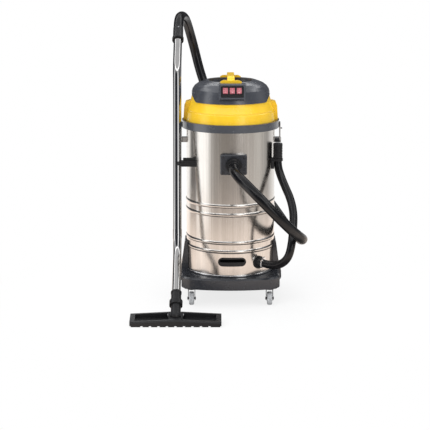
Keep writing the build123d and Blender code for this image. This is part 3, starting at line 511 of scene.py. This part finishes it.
RECESS_SCREW_CIRCLE, RECESS_FLOOR = 0.082, 0.956
recess_turns = [math.radians(turn) for turn in (20, 160, 200, 340)]
recess_screws = [(place, (0, 0, 1)) for place in ring(RECESS_SCREW_CIRCLE, RECESS_FLOOR, recess_turns)]
fasteners("cover_screws", "head", cross_head, recess_screws, HEAD_SCREW_RADIUS, dark_steel_and_fork_shade)


# Switches: three rockers of clear plastic tinted red, one for each motor. Each tips on a pin of its own in
# the black bezel at the front of the cover, and its two ends carry a printed I and O.
def tinted_red():
    """Clear red plastic, a little cloudy inside."""
    finish = Finish("tinted_red_rocker", {"Specular IOR Level": 0.6, "Roughness": 0.16})
    soft_edge = finish.rounded(0.0008)
    cloud = finish.noise(160.0, 3.0)
    finish.drive({
        "Base Color": finish.mix(cloud, (0.38, 0.085, 0.105, 1), (0.52, 0.17, 0.20, 1)),
        "Normal": finish.bump(cloud, 0.00005, soft_edge),
    })
    return finish.material


red_rocker = tinted_red()
for number in (1, 2, 3):
    dress(red_rocker, f"switch_rocker_{number}")

PANEL_UP = Vector((0, 0.020, 0.063)).normalized()
PANEL_OUT = Vector((0, -PANEL_UP.z, PANEL_UP.y))
DISH_ARC, DISH_LIFT, ROCKER_REST = 0.0415, 0.046, math.radians(-8)


def on_rocker(number, across, along):
    """A place on a rocker's dished face as it rests, a hair above the plastic."""
    print_lift = 0.00008
    height = DISH_LIFT - math.sqrt(DISH_ARC ** 2 - along ** 2) + print_lift
    up = along * math.cos(ROCKER_REST) - height * math.sin(ROCKER_REST)
    out = along * math.sin(ROCKER_REST) + height * math.cos(ROCKER_REST)
    pivot = Vector(pivots[f"switch_{number}_rock"])
    return pivot + Vector((across, 0, 0)) + PANEL_UP * up + PANEL_OUT * out


def printed(name, number, rows, looped):
    """A mark printed on a rocker in white ink."""
    mark = skinned(name, [[on_rocker(number, *place) for place in row] for row in rows], looped=looped)
    mark.data.materials.append(white_ink)
    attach(mark, f"switch_rocker_{number}")


INK = (0.74, 0.72, 0.70)
white_ink = moulded("white_ink", INK, INK, 0.45, 900, wear=0.0)
MARK_ALONG, MARK_HALF, STROKE = 0.0072, 0.0022, 0.00035
for number in (1, 2, 3):
    bar = [[(side * STROKE, MARK_ALONG + MARK_HALF * (step / 2 - 1)) for side in (-1, 1)]
           for step in range(5)]
    printed(f"rocker_{number}_on_mark", number, bar, False)
    turns = [math.radians(18 * step) for step in range(20)]
    circle = [[(r * math.cos(turn), r * math.sin(turn) - MARK_ALONG) for turn in turns]
              for r in (MARK_HALF - 2 * STROKE, MARK_HALF)]
    printed(f"rocker_{number}_off_mark", number, circle, True)


# Motors, rotors and float: three motors in cast alloy cases stand on rubber seals on the pan, each with a
# rotor of steel laminations and copper. Under the pan a hollow white plastic ball floats up its cage and
# shuts off the air when the tank is full.
cast_alloy = plated("cast_alloy", (0.52, 0.53, 0.55), 0.42)
rotor_steel = plated("rotor_laminations", (0.42, 0.35, 0.29), 0.36)
WHITE, RUBBED_WHITE = (0.78, 0.78, 0.76), (0.85, 0.85, 0.83)
float_white = moulded("white_float", WHITE, RUBBED_WHITE, 0.30, 900, wear=0.2)
for number in (1, 2, 3):
    dress(cast_alloy, f"motor_{number}")
    dress(rotor_steel, f"rotor_{number}")
dress(float_white, "float_ball")


# Muffler: a ring of open-cell foam under the shell's step, in the way of the motors' air. It is only pressed
# in, so its corners are soft and its skin is uneven.
def open_cell_foam():
    """Dark grey foam with open cells and stains."""
    finish = Finish("open_cell_foam", {"Specular IOR Level": 0.1, "Roughness": 0.95})
    cells = finish.node("ShaderNodeTexVoronoi", None, {"Vector": finish.place, "Scale": 520.0}, "Distance")
    stain = finish.noise(24.0, 4.0)
    finish.drive({
        "Base Color": finish.mix(stain, (0.10, 0.10, 0.105, 1), (0.20, 0.195, 0.19, 1)),
        "Normal": finish.bump(cells, 0.0008),
    })
    return finish.material


def foam_ring():
    """A ring of foam with soft corners and an uneven skin, a little inside its place in the head."""
    middle, half, slack, soft, dents = (0.171, 0.869), (0.0105, 0.0105), 0.0012, 0.5, 14
    turns = [math.radians(3 * step) for step in range(120)]
    rows = []
    for step in range(25):
        corner = math.radians(15 * step)
        side = math.copysign(abs(math.cos(corner)) ** soft, math.cos(corner))
        lift = math.copysign(abs(math.sin(corner)) ** soft, math.sin(corner))
        row = []
        for turn in turns:
            spot = Vector((math.cos(turn), math.sin(turn), 0))
            dent = 1 - slack / half[0] * (1 + noise.noise(spot * dents + Vector((side, lift, 0))))
            radius = middle[0] + half[0] * side * dent
            row.append(spot * radius + Vector((0, 0, middle[1] + half[1] * lift * dent)))
        rows.append(row)
    return skinned("muffler_foam_ring", rows)


foam = foam_ring()
foam.data.materials.append(open_cell_foam())
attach(foam, "head")
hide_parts("muffler_foam")


# Filter bag: a sewn bag of felted cloth that hangs from the filter ring round the float cage. It shows when
# the head is lifted off, creased up and down and grey with dust towards its bottom.
def bag_cloth():
    """Felted cloth with a plain weave that shows through, dustier lower down."""
    dry = {"Specular IOR Level": 0.12, "Roughness": 0.92, "Sheen Weight": 0.2}
    finish = Finish("felted_filter_cloth", dry)
    x, y, z = finish.split(finish.place)
    thread, girth = 0.0011, 0.110
    turn = finish.node("ShaderNodeMath", {"operation": "ARCTAN2"}, {0: x, 1: y})
    warp = finish.node("ShaderNodeMath", {"operation": "SINE"}, {0: turn * (2 * math.pi * girth / thread)})
    weft = finish.node("ShaderNodeMath", {"operation": "SINE"}, {0: z * (2 * math.pi / thread)})
    dust = finish.span(z + 0.08 * finish.noise(18.0, 4.0), 0.86, 0.58)
    finish.drive({
        "Base Color": finish.mix(dust, (0.62, 0.60, 0.55, 1), (0.30, 0.285, 0.265, 1)),
        "Normal": finish.bump(warp * weft + finish.noise(420.0), 0.0002),
    })
    return finish.material


def hung_bag():
    """The bag's skin: from the ring down in creases that deepen, then in over a sagging bottom."""
    top, bottom, mouth, foot, sag, waver = 0.780, 0.549, 0.1150, 0.1040, 0.006, 0.004
    creases, crease_depth, deepening, tuck, wander = 11, 0.0085, 0.6, 0.75, 4.0
    lumps_round, lumps_down, side_rows, bottom_rows = 1.7, 2.2, 36, 12
    turns = [math.radians(1.5 * step) for step in range(240)]
    rows = []
    for step in range(side_rows + bottom_rows):
        down = min(step / side_rows, 1.0)
        inward = max(step - side_rows, 0) / bottom_rows
        row = []
        for turn in turns:
            spot = Vector((math.cos(turn), math.sin(turn), 0))
            drift = noise.noise(spot * lumps_round + Vector((0, 0, lumps_down * down)))
            crease = math.cos(creases * turn + wander * drift) - tuck
            fold = crease_depth * down ** deepening * crease
            radius = mouth + (foot - mouth) * down + fold + waver * drift * down
            radius *= math.cos(inward * math.pi / 2)
            drop = sag * math.sin(inward * math.pi / 2) + waver / 2 * drift * down
            row.append(spot * radius + Vector((0, 0, top + (bottom - top) * down - drop)))
        rows.append(row)
    return skinned("filter_bag_cloth", rows)


bag = hung_bag()
bag.data.materials.append(bag_cloth())
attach(bag, "head")
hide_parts("filter_bag")


# Rubber: a flat gasket under the pan that seals the head on the tank's rim, the motors' seals under their
# cases, and a strip along the front and the back of the floor tool's mouth. All are soft, dull and black.
def soft_rubber():
    """Dull black rubber with a grey bloom."""
    finish = Finish("soft_rubber", {"Specular IOR Level": 0.3})
    bloom = finish.noise(45.0, 4.0)
    finish.drive({
        "Base Color": finish.mix(bloom, (0.014, 0.014, 0.014, 1), (0.034, 0.033, 0.032, 1)),
        "Roughness": 0.62 + 0.2 * bloom,
        "Normal": finish.bump(finish.noise(1400.0), 0.0001, finish.rounded(0.001)),
    })
    return finish.material


black_rubber = soft_rubber()
dress(black_rubber, "head_gasket", "motor_seals", "tool_squeegees")


# Latches: steel wire bent to a loop with a thumb plate, plated bright, one on each side. Each swings in a
# base that is fixed to the tank's wall, and hooks over a keeper on the pan's rim.
dress(bright_chrome, "latch_left", "latch_right", "latch_bases")


# Wand and floor tool: two chromed steel tubes that a spring button holds together, in a clip on the tank's
# side, and a black moulded tool on the wand's foot. The tool tilts on a pin in each side of its neck.
dark_chrome = chrome_plate("dark_chrome", (0.50, 0.495, 0.49), 0.05)
dress(dark_chrome, "wand_lower_tube", "wand_upper_tube")
dress(black_plastic, "wand_clip", "tool_neck", "floor_tool_body")
dress(zinc, "tool_pivot_pins")
CLIP_POINT, WAND_LEAN = Vector((-0.2375, -0.118, 0.616)), math.radians(10)
WAND_UP = Vector((0, math.sin(WAND_LEAN), math.cos(WAND_LEAN)))
BUTTON_Z, SWAGE_RADIUS, BUTTON_RADIUS = 0.322, 0.0202, 0.0042
button_axis = CLIP_POINT + WAND_UP * ((BUTTON_Z - CLIP_POINT.z) / WAND_UP.z)
wand_front = Vector((0, -WAND_UP.z, WAND_UP.y))
button_seat = (button_axis + wand_front * SWAGE_RADIUS, wand_front)
fasteners("wand_button", "chassis", dome_head, [button_seat], BUTTON_RADIUS, dark_steel_and_fork_shade)


# Suction hose: black plastic hose with fine shallow ribs, out of the inlet to the front, round to the right
# in a low loop, up behind the tank and over to the top of the wand. A cuff grips it at each end, and the one
# on the wand is held by two rivets.
def hose_skin():
    """Smooth black plastic with dull scuffs. Its gloss dies away where it is seen aslant, as on fine ribs."""
    finish = Finish("black_hose_skin", {"Specular IOR Level": 0.03, "Coat Roughness": 0.14})
    scuff = finish.span(finish.noise(30.0, 5.0), 0.5, 0.8)
    aslant = finish.node("ShaderNodeLayerWeight", output="Facing")
    black, scuffed = (0.006, 0.006, 0.007, 1), (0.022, 0.021, 0.021, 1)
    finish.drive({
        "Coat Weight": finish.span(aslant, 0.40, 0.70, 0.6, 0.0),
        "Base Color": finish.mix(scuff * 0.6, black, scuffed),
        "Roughness": 0.13 + 0.16 * scuff,
        "Normal": finish.bump(finish.noise(800.0), 0.00008),
    })
    return finish.material


def hose_line(name, route):
    """The centre line of a hose: a smooth spline with the route's points as its controls."""
    curve = bpy.data.curves.new(name, "CURVE")
    curve.dimensions = "3D"
    spline = curve.splines.new("NURBS")
    spline.points.add(len(route) - 1)
    for control, place in zip(spline.points, route):
        control.co = (*place, 1)
    spline.order_u = 3
    spline.use_endpoint_u = True
    curve.resolution_u = 14
    line = bpy.data.objects.new(name, curve)
    bpy.context.scene.collection.objects.link(line)
    return line


def ribbed_tube():
    """Geometry nodes that turn a hose's line into a tube with a rib at each pitch."""
    inputs = {"Line": "Geometry", "Radius": "Float", "Rib pitch": "Float", "Rib rise": "Float",
              "Finish": "Material"}
    sheet = GrowthSheet("ribbed tube", inputs)
    line, radius, pitch, rise, material = sheet.given
    rings_per_rib, sides = 5, 26
    spacing = {"Curve": line, "Length": pitch / rings_per_rib}
    rings = sheet.node("GeometryNodeResampleCurve", {"mode": "LENGTH"}, spacing)
    along = sheet.node("GeometryNodeSplineParameter", output="Length")
    wave = sheet.node("ShaderNodeMath", {"operation": "SINE"}, {0: along * math.pi / pitch})
    crest = sheet.node("ShaderNodeMath", {"operation": "ABSOLUTE"}, {0: wave})
    valley = (1 - crest) ** 2
    circle = sheet.node("GeometryNodeCurvePrimitiveCircle", None, {"Resolution": sides, "Radius": 1.0})
    sweep = {"Curve": rings, "Profile Curve": circle, "Scale": radius - rise * valley, "Fill Caps": True}
    tube = sheet.node("GeometryNodeCurveToMesh", None, sweep)
    tube = sheet.node("GeometryNodeSetShadeSmooth", None, {"Geometry": tube})
    return sheet.end(tube, material)


def line_points(line):
    """Places along a hose's line."""
    graph = bpy.context.evaluated_depsgraph_get()
    mesh = bpy.data.meshes.new_from_object(line.evaluated_get(graph), depsgraph=graph)
    return [vertex.co.copy() for vertex in mesh.vertices]


SUCTION_ROUTE = [
    (0.011, -0.300, 0.644), (0.011, -0.372, 0.644), (0.029, -0.444, 0.632), (0.069, -0.506, 0.602),
    (0.124, -0.541, 0.552), (0.190, -0.541, 0.483), (0.252, -0.500, 0.415), (0.293, -0.420, 0.367),
    (0.311, -0.320, 0.335), (0.311, -0.215, 0.308), (0.310, -0.110, 0.288), (0.297, -0.005, 0.279),
    (0.262, 0.095, 0.302), (0.210, 0.183, 0.366), (0.131, 0.268, 0.455), (0.050, 0.345, 0.548),
    (-0.008, 0.410, 0.652), (-0.060, 0.468, 0.760), (-0.106, 0.520, 0.865), (-0.144, 0.555, 0.970),
    (-0.171, 0.567, 1.079), (-0.193, 0.530, 1.166), (-0.209, 0.450, 1.229), (-0.224, 0.345, 1.255),
    (-0.2375, 0.23464, 1.24772), (-0.2375, 0.17321, 1.20470),
]
dress(black_plastic, "hose_cuff_wand")
CUFF_RADIUS, RIVET_SINK, RIVET_PLACE, RIVET_RADIUS = 0.023, 0.0004, 0.015, 0.0038
RIVET_TURNS = (math.radians(5), math.radians(72))
hose_end = Vector(SUCTION_ROUTE[-1])
cuff_way = (hose_end - Vector(SUCTION_ROUTE[-2])).normalized()
cuff_top = Vector((0, cuff_way.z, -cuff_way.y))
cuff_rivets = []
for turn in RIVET_TURNS:
    out = cuff_top * math.cos(turn) + Vector((math.sin(turn), 0, 0))
    cuff_rivets.append((hose_end + cuff_way * RIVET_PLACE + out * (CUFF_RADIUS - RIVET_SINK), out))
fasteners("cuff_rivets", "chassis", dome_head, cuff_rivets, RIVET_RADIUS, zinc)
black_hose = hose_skin()
hose_tree = ribbed_tube()
suction_line = hose_line("suction_line", SUCTION_ROUTE)
suction_path = line_points(suction_line)
suction_sizes = {"Radius": 0.022, "Rib pitch": 0.005, "Rib rise": 0.00025, "Finish": black_hose}
suction_hose = grown(suction_line, hose_tree, suction_sizes, "suction_hose_ribbed")
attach(suction_hose, "chassis")
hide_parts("suction_hose")


# Drain hose: a limp black plastic hose, clamped on the drain outlet low on the tank, up the tank's side to
# the clip that holds its end upright. The plug in that end is pulled to empty the tank.
DRAIN_ROUTE = [
    (0.15333, -0.18437, 0.190), (0.18586, -0.21690, 0.190), (0.224, -0.255, 0.207), (0.252, -0.276, 0.243),
    (0.265, -0.274, 0.297), (0.273, -0.240, 0.360), (0.277, -0.199, 0.424), (0.265, -0.158, 0.480),
    (0.241, -0.121, 0.530), (0.222, -0.094, 0.575), (0.210, -0.081, 0.616), (0.210, -0.081, 0.652),
]
drain_line = hose_line("drain_line", DRAIN_ROUTE)
drain_path = line_points(drain_line)
drain_sizes = {"Radius": 0.018, "Rib pitch": 0.004, "Rib rise": 0.00015, "Finish": black_hose}
drain_hose = grown(drain_line, hose_tree, drain_sizes, "drain_hose_smooth")
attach(drain_hose, "chassis")
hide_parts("drain_hose")


# Studio: a white floor, soft light all round, and the camera at the photograph's height and distance.
# Polished pieces mirror the floor with painted shade under the machine, then warm, then in bands of white and
# grey, and above it a dark room with strip lamps and a ring lamp.
def bearing(sheet, x, y):
    """The way round the z axis, from 0 at the back to a half at the front and 1 at the back again."""
    return sheet.node("ShaderNodeMath", {"operation": "ARCTAN2"}, {0: x, 1: 0 - y}) / (2 * math.pi) + 0.5


def studio_floor():
    """White paper to the camera and to lights, and the bands that polished pieces mirror to glossy rays, with
    painted shade under the machine.
    """
    paper = {"Base Color": (0.90, 0.895, 0.89, 1), "Roughness": 0.9, "Specular IOR Level": 0.1}
    finish = Finish("studio_floor", paper)
    x, y, _ = finish.split(finish.place)
    reach = finish.node("ShaderNodeVectorMath", {"operation": "LENGTH"}, {0: finish.place}, "Value")
    bands = finish.node("ShaderNodeValToRGB", {"stops": [
        (0.0, (1.2, 1.19, 1.18, 1)), (0.13, (1.2, 1.19, 1.18, 1)), (0.165, (0.14, 0.135, 0.13, 1)),
        (0.225, (0.20, 0.19, 0.19, 1)), (0.245, (1.5, 1.5, 1.5, 1)), (0.33, (1.5, 1.49, 1.48, 1)),
        (0.36, (0.46, 0.44, 0.42, 1)), (0.45, (0.30, 0.275, 0.25, 1)), (0.56, (0.40, 0.37, 0.345, 1)),
        (0.63, (0.58, 0.55, 0.52, 1)), (0.72, (0.70, 0.68, 0.65, 1)), (0.79, (0.36, 0.35, 0.34, 1)),
        (0.86, (0.90, 0.89, 0.88, 1)), (1.0, (1.2, 1.19, 1.18, 1)),
    ]}, {"Fac": bearing(finish, x, y)})
    # Painted shade: near the machine, glossy rays see the floor dark in place of the shadow that the machine
    # casts there.
    painted_shade_edge, warm_edge, shadow_edge = (0.42, 0.75), (1.35, 2.5), (0.25, 1.1)
    dark, peach, band_share = (0.16, 0.15, 0.145, 1), (1.30, 1.12, 1.00, 1), 0.16
    warm = finish.mix(band_share, peach, bands)
    under = finish.mix(finish.span(reach, *painted_shade_edge), dark, warm)
    mirrored = finish.mix(finish.span(reach, *warm_edge), under, bands)
    rays = finish.tree.nodes.new("ShaderNodeLightPath").outputs
    camera_ray = Tone(finish, rays["Is Camera Ray"])
    glossy_ray = Tone(finish, rays["Is Glossy Ray"])
    whiteness = camera_ray * finish.span(reach, *shadow_edge, 0.80, 1.0)
    glow = finish.node("ShaderNodeEmission", None, {"Color": mirrored})
    white = finish.node("ShaderNodeEmission", None, {"Color": (1, 1, 1, 1)})
    lit = Tone(finish, finish.shader.outputs[0])
    lit = finish.node("ShaderNodeMixShader", None, {0: whiteness, 1: lit, 2: white})
    lit = finish.node("ShaderNodeMixShader", None, {0: glossy_ray, 1: lit, 2: glow})
    finish.join(finish.tree.nodes["Material Output"].inputs["Surface"], lit)
    return finish.material


def floor_disc(radius):
    """The round floor under the machine."""
    shape = bmesh.new()
    bmesh.ops.create_circle(shape, cap_ends=True, segments=96, radius=radius)
    mesh = bpy.data.meshes.new("studio_floor")
    shape.to_mesh(mesh)
    shape.free()
    mesh.materials.append(studio_floor())
    floor = bpy.data.objects.new("studio_floor", mesh)
    bpy.context.scene.collection.objects.link(floor)
    return floor


FLOOR_RADIUS = 14.0
floor_disc(FLOOR_RADIUS)

world = bpy.data.worlds.new("studio")
bpy.context.scene.world = world
world.use_nodes = True
sky = NodeSheet(world.node_tree)
background = world.node_tree.nodes["Background"]
rays = world.node_tree.nodes.new("ShaderNodeLightPath").outputs
seen = Tone(sky, rays["Is Camera Ray"]) + Tone(sky, rays["Is Transmission Ray"])
mirror_ray = Tone(sky, rays["Is Glossy Ray"])
way = sky.node("ShaderNodeTexCoord", output="Generated")
x, y, height = sky.split(way)
strips = sky.node("ShaderNodeValToRGB", {"stops": [
    (0.0, (0.10, 0.10, 0.105, 1)), (0.08, (0.10, 0.10, 0.105, 1)), (0.13, (0.05, 0.052, 0.06, 1)),
    (0.26, (0.06, 0.062, 0.07, 1)), (0.285, (1.5, 1.51, 1.53, 1)), (0.32, (1.5, 1.51, 1.53, 1)),
    (0.345, (0.05, 0.052, 0.062, 1)), (0.535, (0.045, 0.048, 0.06, 1)), (0.56, (2.2, 2.2, 2.2, 1)),
    (0.59, (2.2, 2.2, 2.2, 1)), (0.615, (0.06, 0.062, 0.072, 1)), (0.70, (0.10, 0.105, 0.115, 1)),
    (0.76, (0.50, 0.50, 0.51, 1)), (0.84, (0.12, 0.122, 0.13, 1)), (1.0, (0.10, 0.10, 0.105, 1)),
]}, {"Fac": bearing(sky, x, y)})
CEILING_EDGE, CEILING, SOFT_GREY = (0.42, 0.72), (0.78, 0.78, 0.79, 1), (0.62, 0.63, 0.65, 1)
dome = sky.mix(sky.span(height, *CEILING_EDGE), strips, CEILING)
NONE, ALL, LAMP_GLOW = (0, 0, 0, 1), (1, 1, 1, 1), (3.4, 3.4, 3.4, 1)
ring_lamp = sky.node("ShaderNodeValToRGB", {"stops": [
    (0.0, NONE), (0.60, NONE), (0.63, ALL), (0.68, ALL), (0.71, NONE), (1.0, NONE),
]}, {"Fac": height})
dome = sky.mix(ring_lamp, dome, LAMP_GLOW)
fill = sky.mix(mirror_ray, SOFT_GREY, dome)
sky.join(background.inputs["Color"], sky.mix(seen, fill, ALL))


def softbox(name, place, target, size, power):
    """A large soft light that glossy pieces don't mirror."""
    light = bpy.data.lights.new(name, "AREA")
    light.shape = "RECTANGLE"
    light.size, light.size_y = size
    light.energy = power
    lamp = bpy.data.objects.new(name, light)
    lamp.visible_glossy = False
    lamp.location = place
    lamp.rotation_euler = (Vector(target) - Vector(place)).to_track_quat("-Z", "Y").to_euler()
    bpy.context.scene.collection.objects.link(lamp)


softbox("key_softbox", (-2.2, -2.6, 3.0), (0, 0, 0.7), (2.6, 2.6), 78)
softbox("fill_softbox", (2.6, -2.4, 2.0), (0, 0, 0.6), (2.2, 2.6), 40)
softbox("top_softbox", (0.0, 0.6, 3.4), (0, 0, 0.8), (3.0, 3.0), 50)

CAMERA_PLACE, LOOK_DOWN, LENS, SENSOR = (-0.07, -5.5, 1.604), 12.63, 103.14, 36.0
camera = bpy.data.objects.new("camera", bpy.data.cameras.new("camera"))
camera.data.sensor_width = SENSOR
camera.data.lens = LENS
camera.location = CAMERA_PLACE
camera.rotation_euler = (math.radians(90 - LOOK_DOWN), 0, 0)
bpy.context.scene.collection.objects.link(camera)
bpy.context.scene.camera = camera
bpy.context.scene.view_settings.view_transform = "Standard"
